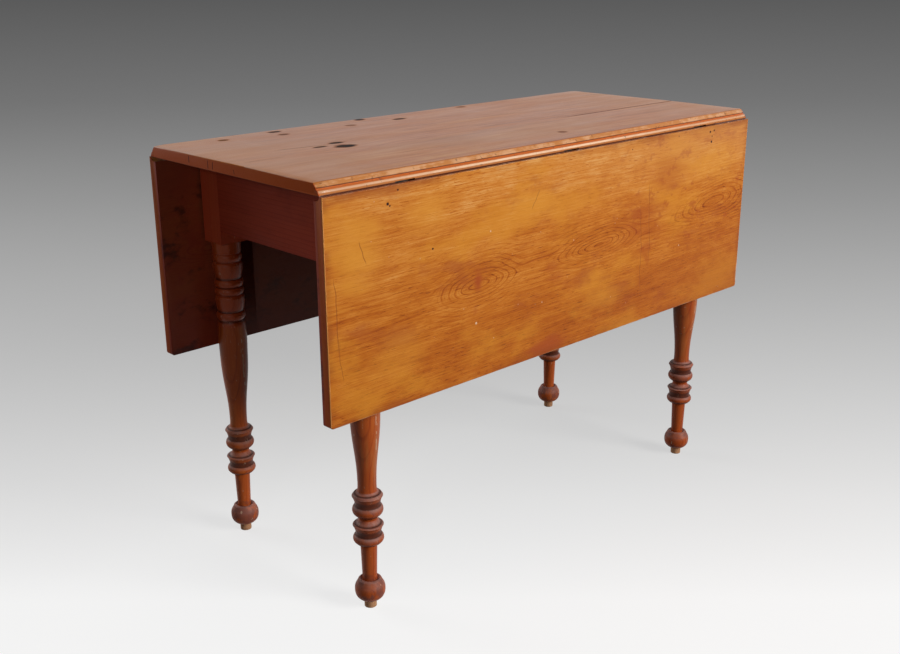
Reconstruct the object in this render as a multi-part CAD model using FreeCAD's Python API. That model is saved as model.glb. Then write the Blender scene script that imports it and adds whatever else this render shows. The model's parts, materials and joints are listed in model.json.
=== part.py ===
"""Drop leaf table on four turned legs.

Millimetres, +Z up. X runs along the table, Y across it, and the origin is on the
floor under the middle. Each leaf hangs on rule-joint hinges and lifts to lie level
with the top, where two swing arms set into the side apron carry it.
"""
import FreeCAD, Part
import math
import os

V = FreeCAD.Vector
X, Y, Z = V(1, 0, 0), V(0, 1, 0), V(0, 0, 1)

# Whole table
table_height = 730.0
top_length = 1067.0
top_width = 432.0           # between the upper arrises of the two long edges
board_thickness = 19.0      # the top and both leaves
top_seam_y = -47.0          # glue line between the two boards of the top
leaf_width = 347.0          # lip to bottom edge
arris_radius = 1.2
leaf_corner_radius = 5.0

# Rule joint, measured outward and upward from the hinge pivot
barrel_radius = 3.2
pivot_outset = 1.5          # pivot beyond the upper arris of the top
chamfer_foot = (4.7, 8.2)
fillet_drop = 2.0
bead_reach = 9.5
bead_foot_rise = 0.5
joint_clearance = 0.9
lip_clearance = 0.5

# Hinges
hinge_places = (-375.0, 0.0, 375.0)
plate_width = 38.0
plate_thickness = 1.8
plate_setback = 3.7         # plate edge from the pivot; only the knuckles come nearer
top_plate_reach = 22.0
leaf_plate_reach = 58.0
pin_radius = 1.6
pin_clearance = 0.05
knuckle_gap = 0.3
middle_knuckle = 13.0
channel_clearance = 0.4
hinge_screw_radius = 1.7
hinge_screw_length = 12.5
top_screw_places = ((-11.0, 9.5), (11.0, 9.5), (0.0, 16.5))
leaf_screw_places = ((-11.0, 19.0), (11.0, 19.0), (0.0, 34.0), (-11.0, 49.0), (11.0, 49.0))

# Legs
leg_spacing_x = 858.0
leg_spacing_y = 366.0
post_width = 51.0
post_drop = 153.0           # underside of the top to the square shoulder
glue_gap = 0.05
foot_peg_radius = 10.2
foot_peg_stand = 14.0       # peg below the ball
foot_peg_socket = 28.0
ball_flat_radius = 11.0
ball_height = 39.0
ball_top_radius = 16.2
ball_cup_depth = 2.0      # dip round the shaft on top of the ball
lower_shaft_length = 69.0
lower_shaft_radii = (12.0, 14.0)
neck_radius = 15.0
vase_foot_radius = 15.8
vase_top_radius = 21.2

# Aprons
apron_height = 129.0
apron_thickness = 22.0
side_apron_inset = 12.0     # behind the outer faces of the posts
tenon_thickness = 9.0
tenon_length = 30.0
tenon_shoulder_top = 16.0
tenon_shoulder_bottom = 9.0
mortise_depth_extra = 0.5

# Swing arms
arm_place_x = 210.0
arm_reach = 115.0
arm_height = 38.0
arm_tip_height = 24.0
arm_flat = 46.0             # half length of the arm that bears on the apron
arm_end_clearance = 1.5
arm_top_clearance = 0.6
arm_pin_radius = 4.0
arm_pin_depth = 42.0
arm_head_radius = 7.5
arm_head_height = 3.0
arm_head_side_gap = 0.4
arm_head_under_gap = 0.3
arm_head_cover = 1.2        # head below the top of the arm

# Glue blocks
block_size = 22.0
block_chamfer = 7.0
side_block_length = 72.0
end_block_length = 150.0
outer_block_length = 52.0
block_screw_radius = 2.2
block_screw_bite = 12.0     # how far the screws go into the top
slot_width = 1.0
slot_depth = 1.2

# Places that follow from the sizes
underside = table_height - board_thickness
pivot_y = top_width / 2 + pivot_outset
pivot_z = underside + barrel_radius
face_out = board_thickness - barrel_radius
post_bottom = underside - post_drop
apron_bottom = underside - apron_height
leg_x = leg_spacing_x / 2
leg_y = leg_spacing_y / 2
half_post = post_width / 2
end_apron_x = leg_x + half_post - apron_thickness / 2
side_apron_y = leg_y + half_post - side_apron_inset - apron_thickness / 2
notch_floor = underside - arm_top_clearance - arm_height
arm_top = notch_floor + arm_height
head_bottom = arm_top - arm_head_cover - arm_head_height
cove_radius = math.hypot(bead_reach, barrel_radius) + joint_clearance


def box(x0, x1, y0, y1, z0, z1):
    return Part.makeBox(x1 - x0, y1 - y0, z1 - z0, V(x0, y0, z0))


def centred(x, y, z0, width_x, width_y, height):
    return box(x - width_x / 2, x + width_x / 2, y - width_y / 2, y + width_y / 2, z0, z0 + height)


def rod(radius, start, length, direction):
    return Part.makeCylinder(radius, length, start, direction)


def fused(first, *others):
    return first.fuse(list(others)).removeSplitter()


def other_side(shape):
    """The same piece on the front of the table."""
    return shape.mirror(V(0, 0, 0), Y)


def other_end(shape):
    """The same piece at the right-hand end."""
    return shape.mirror(V(0, 0, 0), X)


def rounded(solid, radius, wanted):
    edges = [edge for edge in solid.Edges if wanted(edge)]
    return solid.makeFillet(radius, edges)


def across(edge, normal, place):
    """True for an edge that lies wholly in the plane at this place along the normal."""
    return all(abs(v.Point.dot(normal) - place) < 1e-4 for v in edge.Vertexes)


class Outline:
    """A chain of lines, arcs and splines in a plane, each step given from the last."""

    def __init__(self, place, start):
        self.place = place
        self.start = start
        self.at = start
        self.edges = []

    def line(self, out, up):
        self.edges.append(Part.makeLine(self.place(*self.at), self.place(out, up)))
        self.at = (out, up)

    def arc(self, middle, end):
        curve = Part.Arc(self.place(*self.at), self.place(*middle), self.place(*end))
        self.edges.append(curve.toShape())
        self.at = end

    def spline(self, points, leave, arrive):
        curve = Part.BSplineCurve()
        curve.interpolate(
            [self.place(*self.at)] + [self.place(*p) for p in points],
            InitialTangent=self.place(*leave) - self.place(0, 0),
            FinalTangent=self.place(*arrive) - self.place(0, 0),
        )
        self.edges.append(curve.toShape())
        self.at = points[-1]

    def face(self):
        self.line(*self.start)
        return Part.Face(Part.Wire(self.edges))


# The top

def cross_section(out, up):
    """A point beside the back pivot, out from it and up from it."""
    return V(-top_length / 2, pivot_y + out, pivot_z + up)


def along_table(outline):
    return outline.face().extrude(X * top_length)


def lip_set():
    """Where the chamfer comes inside the circle that the raised lip keeps clear of."""
    rise = (chamfer_foot[1] - face_out) / (chamfer_foot[0] + pivot_outset)
    level = face_out + rise * pivot_outset
    reach = cove_radius - lip_clearance
    a, b, c = 1 + rise ** 2, rise * level, level ** 2 - reach ** 2
    return (-b - math.sqrt(b * b - a * c)) / a


def top_half(seam):
    """The back part of the top, from its seam to the moulded edge."""
    edge = Outline(cross_section, (seam - pivot_y, -barrel_radius))
    edge.line(bead_reach, -barrel_radius)
    edge.line(bead_reach, bead_foot_rise)
    fillet_foot = (chamfer_foot[0], chamfer_foot[1] - fillet_drop)
    bead_bulge = 0.29 * (bead_reach - chamfer_foot[0])
    middle = (
        (bead_reach + fillet_foot[0]) / 2 + bead_bulge * 0.8,
        (bead_foot_rise + fillet_foot[1]) / 2 + bead_bulge * 0.6,
    )
    edge.arc(middle, fillet_foot)
    edge.line(*chamfer_foot)
    edge.line(-pivot_outset, face_out)
    edge.line(seam - pivot_y, face_out)
    board = along_table(edge)
    ends = [-top_length / 2, top_length / 2]
    board = rounded(
        board, arris_radius,
        lambda e: any(across(e, X, end) for end in ends) and across(e, Z, table_height),
    )
    for place in hinge_places:
        board = board.cut(hinge_recess(place))
        for screw in top_screws(place):
            board = board.cut(screw)
    return board


def hinge_recess(place):
    """Room in the top for a plate, its barrel and the leaf plate when it is raised."""
    low, high = place - plate_width / 2, place + plate_width / 2
    side = channel_clearance
    room = barrel_radius + side
    plate = box(low, high, pivot_y - top_plate_reach, pivot_y, underside, underside + plate_thickness)
    barrel = box(low - side, high + side, pivot_y - room, pivot_y + room, underside, pivot_z + room)
    raised = box(
        low - side, high + side, pivot_y, pivot_y + bead_reach + 1,
        underside, underside + plate_thickness + side,
    )
    return fused(plate, barrel, raised)


# The leaves, built hanging at the back

def leaf():
    lip = lip_set()
    bottom = -lip - leaf_width
    edge = Outline(cross_section, (-barrel_radius, bottom))
    edge.line(face_out, bottom)
    edge.line(face_out, -lip)
    edge.line(math.sqrt(cove_radius ** 2 - lip ** 2), -lip)
    middle = cove_radius * math.sqrt(0.5)
    edge.arc((middle, -middle), (-barrel_radius, -math.sqrt(cove_radius ** 2 - barrel_radius ** 2)))
    board = along_table(edge)
    foot, ends = pivot_z + bottom, [-top_length / 2, top_length / 2]
    board = rounded(
        board, leaf_corner_radius,
        lambda e: any(across(e, X, end) for end in ends) and across(e, Z, foot),
    )
    board = rounded(board, arris_radius, lambda e: across(e, Y, pivot_y + face_out))
    for place in hinge_places:
        low, high = place - plate_width / 2, place + plate_width / 2
        board = board.cut(box(
            low, high, pivot_y - barrel_radius, pivot_y - barrel_radius + plate_thickness,
            pivot_z - leaf_plate_reach, pivot_z,
        ))
        for screw in leaf_screws(place):
            board = board.cut(screw)
    return board


# Screws and hinges

def wood_screw(radius, length, slot_turn=0.0):
    """A countersunk screw pointing up from its head at the origin."""
    head = 2.05 * radius
    sink = head - radius
    edge = Outline(lambda out, up: V(out, 0, up), (0, 0))
    edge.line(head, 0)
    edge.line(radius, sink)
    edge.line(radius, length - 2 * radius)
    edge.line(0.3, length)
    edge.line(0, length)
    screw = edge.face().revolve(V(0, 0, 0), Z, 360)
    depth = min(slot_depth, sink * 0.7)
    slot = centred(0, 0, -1, 3 * head, min(slot_width, radius * 0.5), 1 + depth)
    slot.rotate(V(0, 0, 0), Z, slot_turn)
    return screw, screw.cut(slot)


def set_screw(kind, radius, length, place, direction, slot_turn):
    """Screw body (kind 0, for cutting its hole) or slotted screw (kind 1), put in place."""
    shape = wood_screw(radius, length, slot_turn)[kind].copy()
    turn = FreeCAD.Rotation(Z, direction)
    shape.Placement = FreeCAD.Placement(place, turn).multiply(shape.Placement)
    return shape


def top_screws(place, kind=0):
    return [
        set_screw(
            kind, hinge_screw_radius, hinge_screw_length,
            V(place + dx, pivot_y - inward, underside), Z, 37.0 * n + 11 * dx,
        )
        for n, (dx, inward) in enumerate(top_screw_places)
    ]


def leaf_screws(place, kind=0):
    face = pivot_y - barrel_radius
    return [
        set_screw(
            kind, hinge_screw_radius, hinge_screw_length,
            V(place + dx, face, pivot_z - down), Y, 53.0 * n + 7 * dx,
        )
        for n, (dx, down) in enumerate(leaf_screw_places)
    ]


def knuckle(low, high):
    return rod(barrel_radius, V(low, pivot_y, pivot_z), high - low, X)


def pin_bore(place):
    radius = pin_radius + pin_clearance
    return rod(radius, V(place - plate_width, pivot_y, pivot_z), 2 * plate_width, X)


def top_plate(place):
    low, high = place - plate_width / 2, place + plate_width / 2
    plate = box(
        low, high, pivot_y - top_plate_reach, pivot_y - plate_setback,
        underside, underside + plate_thickness,
    )
    half_middle = middle_knuckle / 2 + knuckle_gap
    parts = []
    for start, end in ((low, place - half_middle), (place + half_middle, high)):
        parts.append(knuckle(start, end))
        parts.append(box(
            start, end, pivot_y - plate_setback, pivot_y, underside, underside + plate_thickness,
        ))
    plate = fused(plate, *parts).cut(pin_bore(place))
    for screw in top_screws(place):
        plate = plate.cut(screw)
    return plate


def leaf_plate(place):
    low, high = place - plate_width / 2, place + plate_width / 2
    back = pivot_y - barrel_radius
    plate = box(
        low, high, back, back + plate_thickness,
        pivot_z - leaf_plate_reach, pivot_z - plate_setback,
    )
    start, end = place - middle_knuckle / 2, place + middle_knuckle / 2
    finger = box(start, end, back, back + plate_thickness, pivot_z - plate_setback, pivot_z)
    plate = fused(plate, knuckle(start, end), finger).cut(pin_bore(place))
    for screw in leaf_screws(place):
        plate = plate.cut(screw)
    return plate


def hinge_pin(place):
    return rod(pin_radius, V(place - plate_width / 2, pivot_y, pivot_z), plate_width, X)


# The legs

def turning():
    """The turned part of a leg, from the ball up to the square post."""
    full = half_post - 0.1
    edge = Outline(lambda out, up: V(out, 0, up), (0, foot_peg_stand))

    def rise(out, by):
        edge.line(out, edge.at[1] + by)

    def sweep(middle, end):
        base = edge.at[1]
        edge.arc((middle[0], base + middle[1]), (end[0], base + end[1]))

    def bead(height, depth, quirk=1.2):
        """A round bead that stands out from a small quirk on each side."""
        rise(full - depth, quirk)
        sweep((full, height / 2), (full - depth, height))

    def cup_with_rim(height):
        """A cup that widens upward to a sharp rim."""
        sweep((full - 3.4, height * 0.45), (full - 0.3, height - 1.0))
        sweep((full, 0.5), (full - 0.4, 1.0))

    def barrel_cup(height):
        """A cup that narrows at the foot and has a rounded shoulder."""
        sweep((full - 0.7, height * 0.42), (full, height * 0.78))
        sweep((full - 0.35, height * 0.14), (full - 1.7, height * 0.21))

    # ball
    edge.line(ball_flat_radius, foot_peg_stand)
    shape = ((3.2, full - 6.8), (10.0, full - 1.6), (19.0, full), (28.0, full - 1.5), (35.6, full - 5.6))
    points = [(radius, foot_peg_stand + up) for up, radius in shape]
    edge.spline(points + [(ball_top_radius, foot_peg_stand + ball_height)], (1, 0.15), (-1, 0.55))
    shaft_low, shaft_high = lower_shaft_radii
    rise(shaft_low, -ball_cup_depth)
    rise(shaft_high, lower_shaft_length)

    # lower rings: bead, cup, neck, bead, cup
    rise(full - 4.4, 0)
    bead(14.5, 4.4, 0.6)
    rise(full - 4.6, 2.6)
    cup_with_rim(14.5)
    rise(full - 1.2, 0.9)
    sweep((neck_radius + 2.6, 4.0), (neck_radius, 9.0))
    sweep((neck_radius + 1.4, 4.4), (full - 4.4, 8.2))
    bead(16.6, 4.2, 0.3)
    rise(full - 4.6, 2.4)
    cup_with_rim(14.5)
    rise(full - 1.0, 1.0)
    sweep((full - 3.8, 3.2), (full - 7.0, 4.4))
    sweep((vase_foot_radius + 0.9, 1.5), (vase_foot_radius, 5.0))

    # long vase, as tall as the leg leaves it
    upper = 142.0
    foot, head = edge.at[1], post_bottom - upper
    tall = head - foot
    shape = (
        (0.07, vase_foot_radius - 0.4), (0.20, vase_foot_radius + 0.7), (0.35, 19.7),
        (0.55, 23.6), (0.72, full - 0.6), (0.84, full - 0.2), (0.94, full - 1.5),
    )
    points = [(radius, foot + part * tall) for part, radius in shape]
    edge.spline(points + [(vase_top_radius, head)], (-0.12, 1), (-0.55, 1))

    # upper rings: bead, cup, two beads, cup, bead, collar
    edge.line(full - 3.0, head + 1.0)
    bead(13.6, 2.6, 0.4)
    rise(full - 3.7, 1.2)
    barrel_cup(29.3)
    rise(full - 2.9, 1.0)
    bead(12.2, 2.5, 1.0)
    rise(full - 3.6, 1.3)
    bead(12.6, 2.6, 1.2)
    rise(full - 3.7, 1.2)
    barrel_cup(29.5)
    rise(full - 2.9, 1.0)
    bead(14.4, 2.6, 0.9)
    rise(full - 2.6, 0.8)
    rise(full - 0.5, 0.8)
    edge.line(full - 0.2, post_bottom)
    edge.line(0, post_bottom)
    return edge.face().revolve(V(0, 0, 0), Z, 360)


def leg():
    """The leg at the left end of the back."""
    at = V(-leg_x, leg_y, 0)
    round_part = turning()
    round_part.translate(at)
    post = centred(at.x, at.y, post_bottom, post_width, post_width, post_drop)
    whole = fused(post, round_part)
    socket = rod(
        foot_peg_radius + glue_gap, at + Z * (foot_peg_stand - 1), foot_peg_socket + 1.5, Z,
    )
    whole = whole.cut(socket)
    end_mortise = end_tenon(mortise_depth_extra)
    side_mortise = side_tenon(mortise_depth_extra)
    return whole.cut([end_mortise, side_mortise])


def foot_peg():
    peg = rod(foot_peg_radius, V(-leg_x, leg_y, 0), foot_peg_stand + foot_peg_socket, Z)
    return rounded(peg, 1.0, lambda e: across(e, Z, 0))


# The aprons

def tenon_height():
    return apron_bottom + tenon_shoulder_bottom, underside - tenon_shoulder_top


def end_tenon(extra=0.0):
    """Tenon of the left end apron in the back post."""
    low, high = tenon_height()
    root = leg_y - half_post
    x = -end_apron_x
    half = tenon_thickness / 2
    return box(x - half, x + half, root, root + tenon_length + extra, low, high)


def side_tenon(extra=0.0):
    """Tenon of the back apron in the left post."""
    low, high = tenon_height()
    root = -leg_x + half_post
    half = tenon_thickness / 2
    return box(root - tenon_length - extra, root, side_apron_y - half, side_apron_y + half, low, high)


def end_apron():
    half = leg_y - half_post
    board = box(
        -end_apron_x - apron_thickness / 2, -end_apron_x + apron_thickness / 2,
        -half, half, apron_bottom, underside,
    )
    return fused(board, end_tenon(), other_side(end_tenon()))


def side_apron():
    half = leg_x - half_post
    near, far = side_apron_y - apron_thickness / 2, side_apron_y + apron_thickness / 2
    board = box(-half, half, near, far, apron_bottom, underside)
    board = fused(board, side_tenon(), other_end(side_tenon()))
    reach = arm_reach + arm_end_clearance
    for x in (-arm_place_x, arm_place_x):
        board = board.cut(box(x - reach, x + reach, near - 1, far + 1, notch_floor, underside + 1))
        board = board.cut(rod(arm_pin_radius, V(x, side_apron_y, notch_floor - arm_pin_depth), 60, Z))
    return board


# The swing arms

def swing_arm():
    """The left arm of the back apron, lying in its notch."""
    half = apron_thickness / 2
    low, high = -arm_place_x - arm_reach, -arm_place_x + arm_reach
    tip = arm_top - arm_tip_height
    bend = 0.45 * (arm_reach - arm_flat)
    side = Outline(lambda out, up: V(out, side_apron_y - half, up), (-arm_place_x - arm_flat, notch_floor))
    side.line(-arm_place_x + arm_flat, notch_floor)
    side.spline([(high - bend, (tip + notch_floor) / 2), (high, tip)], (1, 0), (1, 0.1))
    side.line(high, arm_top)
    side.line(low, arm_top)
    side.line(low, tip)
    side.spline(
        [(low + bend, (tip + notch_floor) / 2), (-arm_place_x - arm_flat, notch_floor)],
        (1, -0.1), (1, 0),
    )
    body = Part.Face(Part.Wire(side.edges)).extrude(Y * apron_thickness)
    plan = box(low + half, high - half, side_apron_y - half, side_apron_y + half, 0, table_height)
    ends = [rod(half, V(x, side_apron_y, 0), table_height, Z) for x in (low + half, high - half)]
    body = body.common(fused(plan, *ends))
    centre = V(-arm_place_x, side_apron_y, 0)
    bore = rod(arm_pin_radius + pin_clearance, centre, table_height, Z)
    seat = head_bottom - arm_head_under_gap
    counterbore = rod(arm_head_radius + arm_head_side_gap, centre + Z * seat, table_height, Z)
    return body.cut([bore, counterbore])


def arm_screw():
    centre = V(-arm_place_x, side_apron_y, 0)
    bottom = notch_floor - arm_pin_depth
    shank = rod(arm_pin_radius, centre + Z * bottom, head_bottom - bottom, Z)
    head = rod(arm_head_radius, centre + Z * head_bottom, arm_head_height, Z)
    slot = centred(
        centre.x, centre.y, head_bottom + arm_head_height - slot_depth,
        3 * arm_head_radius, 1.4 * slot_width, 10,
    )
    slot.rotate(centre, Z, 64)
    return fused(shank, head).cut(slot)


# Glue blocks under the top

def block_along_y(length):
    """The block behind the left end apron."""
    x = -end_apron_x + apron_thickness / 2
    edge = Outline(lambda out, up: V(x + out, -length / 2, underside - up), (0, 0))
    edge.line(block_size, 0)
    edge.line(block_size, block_size - block_chamfer)
    edge.line(block_size - block_chamfer, block_size)
    edge.line(0, block_size)
    return edge.face().extrude(Y * length)


def block_along_x(centre, length):
    """A block behind the back apron."""
    y = side_apron_y - apron_thickness / 2
    edge = Outline(lambda out, up: V(centre - length / 2, y - out, underside - up), (0, 0))
    edge.line(block_size, 0)
    edge.line(block_size, block_size - block_chamfer)
    edge.line(block_size - block_chamfer, block_size)
    edge.line(0, block_size)
    return edge.face().extrude(X * length)


def block_screw(kind, x, y, turn):
    length = block_size + block_screw_bite
    return set_screw(kind, block_screw_radius, length, V(x, y, underside - block_size), Z, turn)


outer_block_x = -leg_x + half_post + outer_block_length / 2
block_screw_offset = (block_size - block_chamfer) / 2
end_screw_x = -end_apron_x + apron_thickness / 2 + block_screw_offset
side_screw_y = side_apron_y - apron_thickness / 2 - block_screw_offset
end_screw_places = [(end_screw_x, y) for y in (-end_block_length / 3, end_block_length / 3)]
side_screw_places = [(-side_block_length / 4, side_screw_y), (outer_block_x, side_screw_y)]


def all_block_screws(kind):
    quarter = [block_screw(kind, x, y, 40 + x) for x, y in side_screw_places]
    half = quarter + [other_side(s) for s in quarter]
    half += [block_screw(kind, x, y, 15 + y) for x, y in end_screw_places]
    return half + [other_end(s) for s in half]


def without_screws(piece, screws):
    near = [s for s in screws if s.BoundBox.intersect(piece.BoundBox)]
    return piece.cut(near) if near else piece


# Everything, in place

nodes = {}
screw_holes = all_block_screws(0)

top_back = without_screws(top_half(top_seam_y), screw_holes)
top_front = without_screws(other_side(top_half(-top_seam_y)), screw_holes)
nodes["top_board_back"] = top_back
nodes["top_board_front"] = top_front

back_leaf = leaf()
nodes["leaf_back"] = back_leaf
nodes["leaf_front"] = other_side(back_leaf)

back_left = {"leg": leg(), "foot_peg": foot_peg(), "swing_arm": swing_arm()}
for name, shape in back_left.items():
    nodes[name + "_left_back"] = shape
    nodes[name + "_left_front"] = other_side(shape)
    nodes[name + "_right_back"] = other_end(shape)
    nodes[name + "_right_front"] = other_side(other_end(shape))

nodes["end_apron_left"] = end_apron()
nodes["end_apron_right"] = other_end(nodes["end_apron_left"])
nodes["side_apron_back"] = side_apron()
nodes["side_apron_front"] = other_side(nodes["side_apron_back"])

for name, place in zip(("left", "middle", "right"), hinge_places):
    nodes["hinge_top_plate_back_" + name] = top_plate(place)
    nodes["hinge_top_plate_front_" + name] = other_side(top_plate(place))
    nodes["hinge_leaf_plate_back_" + name] = leaf_plate(place)
    nodes["hinge_leaf_plate_front_" + name] = other_side(leaf_plate(place))

pins = [hinge_pin(place) for place in hinge_places]
nodes["hinge_pins"] = Part.makeCompound(pins + [other_side(pin) for pin in pins])
screws = [screw for place in hinge_places for screw in top_screws(place, 1)]
nodes["hinge_screws_top"] = Part.makeCompound(screws + [other_side(s) for s in screws])
screws = [screw for place in hinge_places for screw in leaf_screws(place, 1)]
nodes["hinge_screws_leaf_back"] = Part.makeCompound(screws)
nodes["hinge_screws_leaf_front"] = Part.makeCompound([other_side(s) for s in screws])

pivots = [arm_screw(), other_end(arm_screw())]
nodes["arm_pivot_screws"] = Part.makeCompound(pivots + [other_side(s) for s in pivots])

blocks = {"side_block_back_middle": block_along_x(0, side_block_length)}
blocks["side_block_back_left"] = block_along_x(outer_block_x, outer_block_length)
blocks["side_block_back_right"] = other_end(blocks["side_block_back_left"])
for name, shape in list(blocks.items()):
    blocks[name.replace("back", "front")] = other_side(shape)
blocks["end_block_left"] = block_along_y(end_block_length)
blocks["end_block_right"] = other_end(blocks["end_block_left"])
for name, shape in blocks.items():
    nodes[name] = without_screws(shape, screw_holes)
nodes["block_screws"] = Part.makeCompound(all_block_screws(1))

os.makedirs("parts", exist_ok=True)
for name, shape in nodes.items():
    shape.exportStep("parts/" + name + ".step")
print(len(nodes), "nodes")
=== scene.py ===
# Cherry drop leaf table: materials, worn boards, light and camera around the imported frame.
import json
import math
import bpy
import bmesh
from mathutils import Euler, Matrix, Vector, noise


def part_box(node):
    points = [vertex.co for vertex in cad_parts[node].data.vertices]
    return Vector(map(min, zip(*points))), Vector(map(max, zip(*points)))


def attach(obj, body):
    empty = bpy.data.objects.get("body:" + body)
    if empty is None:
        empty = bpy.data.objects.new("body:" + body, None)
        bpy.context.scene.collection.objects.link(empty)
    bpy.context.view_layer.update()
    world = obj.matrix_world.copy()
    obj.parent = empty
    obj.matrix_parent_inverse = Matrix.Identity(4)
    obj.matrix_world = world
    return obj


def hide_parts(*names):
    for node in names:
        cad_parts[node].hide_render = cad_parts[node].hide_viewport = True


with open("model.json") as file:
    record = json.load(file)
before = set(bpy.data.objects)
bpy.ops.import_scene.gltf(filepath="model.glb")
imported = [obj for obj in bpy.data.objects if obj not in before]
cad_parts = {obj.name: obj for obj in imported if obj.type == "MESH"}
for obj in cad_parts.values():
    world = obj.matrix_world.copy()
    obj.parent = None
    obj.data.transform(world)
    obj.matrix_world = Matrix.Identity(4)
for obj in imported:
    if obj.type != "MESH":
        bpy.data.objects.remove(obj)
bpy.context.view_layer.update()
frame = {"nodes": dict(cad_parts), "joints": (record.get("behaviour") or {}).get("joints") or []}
nodes = frame["nodes"]
scene = bpy.context.scene

# places that the materials and pieces share, read from the frame
topLow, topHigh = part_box("top_board_front")
leafLow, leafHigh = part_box("leaf_front")
tableHeight = topHigh.z
halfLength = topHigh.x
underTop = topLow.z
seamAt = topHigh.y
leafOut = -leafLow.y
pivot = Vector(frame["joints"][0]["pos_m"])
print("frame loaded:", len(nodes), "nodes")


class Field:
    # one value, colour or vector on its way through a material
    def __init__(self, recipe, socket):
        self.recipe = recipe
        self.socket = socket

    def __add__(self, other):
        return self.recipe.maths("ADD", self, other)

    def __radd__(self, other):
        return self.recipe.maths("ADD", other, self)

    def __sub__(self, other):
        return self.recipe.maths("SUBTRACT", self, other)

    def __rsub__(self, other):
        return self.recipe.maths("SUBTRACT", other, self)

    def __mul__(self, other):
        return self.recipe.maths("MULTIPLY", self, other)

    def __rmul__(self, other):
        return self.recipe.maths("MULTIPLY", other, self)

    def __truediv__(self, other):
        return self.recipe.maths("DIVIDE", self, other)

    def __rtruediv__(self, other):
        return self.recipe.maths("DIVIDE", other, self)

    def __pow__(self, other):
        return self.recipe.maths("POWER", self, other)


class Recipe:
    # the nodes of one material
    def __init__(self, name):
        self.material = bpy.data.materials.new(name)
        self.material.use_nodes = True
        self.tree = self.material.node_tree
        self.tree.nodes.clear()

    def node(self, kind, settings=None, links=None, output=0):
        made = self.tree.nodes.new(kind)
        for key, value in (settings or {}).items():
            if key == "stops":
                ramp = made.color_ramp
                while len(ramp.elements) < len(value):
                    ramp.elements.new(0.5)
                for element, (position, colour) in zip(ramp.elements, value):
                    element.position = position
                    element.color = (*colour, 1)
            else:
                setattr(made, key, value)
        for key, value in (links or {}).items():
            if isinstance(value, Field):
                self.tree.links.new(value.socket, made.inputs[key])
            else:
                made.inputs[key].default_value = value
        return Field(self, made.outputs[output])

    def maths(self, operation, *values, clamp=False):
        links = {i: value for i, value in enumerate(values)}
        return self.node("ShaderNodeMath", {"operation": operation, "use_clamp": clamp}, links)

    def most(self, a, b):
        return self.maths("MAXIMUM", a, b)

    def least(self, a, b):
        return self.maths("MINIMUM", a, b)

    def size(self, a):
        return self.maths("ABSOLUTE", a)

    def limit(self, a):
        return self.maths("ADD", a, 0, clamp=True)

    def step(self, value, low, high, start=0.0, end=1.0):
        # eased from start to end while value goes from low to high
        if low > high:
            low, high, start, end = high, low, end, start
        links = {0: value, 1: low, 2: high, 3: start, 4: end}
        return self.node("ShaderNodeMapRange", {"interpolation_type": "SMOOTHSTEP"}, links)

    def place(self):
        return self.node("ShaderNodeTexCoord", output="Object")

    def split(self, vector):
        made = self.node("ShaderNodeSeparateXYZ", links={0: vector})
        sockets = made.socket.node.outputs
        return [Field(self, socket) for socket in sockets]

    def join(self, x, y, z):
        return self.node("ShaderNodeCombineXYZ", links={0: x, 1: y, 2: z})

    def stretch(self, vector, scale, shift=(0, 0, 0)):
        return self.node("ShaderNodeMapping",
                         links={"Vector": vector, "Scale": scale, "Location": shift})

    def cloud(self, vector, scale, detail=2.0, roughness=0.5, shift=(0, 0, 0), bend=0.0):
        links = {"Vector": self.stretch(vector, scale, shift), "Scale": 1.0, "Detail": detail,
                 "Roughness": roughness, "Distortion": bend}
        return self.node("ShaderNodeTexNoise", {}, links, "Fac")

    def cells(self, vector, scale, output="Distance", randomness=1.0):
        links = {"Vector": self.stretch(vector, scale), "Scale": 1.0, "Randomness": randomness}
        return self.node("ShaderNodeTexVoronoi", {}, links, output)

    def ramp(self, value, stops, interpolation="LINEAR"):
        made = self.node("ShaderNodeValToRGB", {"stops": stops}, {0: value})
        made.socket.node.color_ramp.interpolation = interpolation
        return made

    def blend(self, amount, a, b, way="MIX"):
        a = (*a, 1) if isinstance(a, tuple) else a
        b = (*b, 1) if isinstance(b, tuple) else b
        settings = {"data_type": "RGBA", "blend_type": way, "clamp_factor": True}
        return self.node("ShaderNodeMix", settings, {0: amount, 6: a, 7: b}, 2)

    def bump(self, height, strength, distance, normal=None):
        links = {"Height": height, "Strength": strength, "Distance": distance}
        if normal is not None:
            links["Normal"] = normal
        return self.node("ShaderNodeBump", {}, links)

    def finish(self, colour, roughness, normal, fixed=None):
        links = {"Base Color": colour, "Roughness": roughness, "Normal": normal}
        for key, value in (fixed or {}).items():
            links[key] = value
        shader = self.node("ShaderNodeBsdfPrincipled", {}, links)
        self.toOutput(shader)
        return self.material

    def toOutput(self, shader):
        made = self.tree.nodes.new("ShaderNodeOutputMaterial")
        self.tree.links.new(shader.socket, made.inputs[0])


woodTones = {
    "leaf": [(0.0, (0.19, 0.034, 0.005)), (0.30, (0.42, 0.098, 0.009)),
             (0.55, (0.54, 0.160, 0.017)),
             (0.78, (0.66, 0.245, 0.040)), (1.0, (0.76, 0.38, 0.12))],
    "top": [(0.0, (0.20, 0.050, 0.014)), (0.30, (0.40, 0.108, 0.020)), (0.55, (0.52, 0.160, 0.034)),
            (0.78, (0.57, 0.230, 0.072)), (1.0, (0.66, 0.32, 0.13))],
    "leg": [(0.0, (0.10, 0.014, 0.004)), (0.30, (0.28, 0.043, 0.007)), (0.55, (0.42, 0.078, 0.012)),
            (0.78, (0.52, 0.125, 0.020)), (1.0, (0.62, 0.22, 0.06))],
    "apron": [(0.0, (0.12, 0.012, 0.006)), (0.30, (0.30, 0.034, 0.014)),
              (0.55, (0.41, 0.052, 0.022)),
              (0.78, (0.49, 0.076, 0.032)), (1.0, (0.57, 0.12, 0.05))],
}


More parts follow.
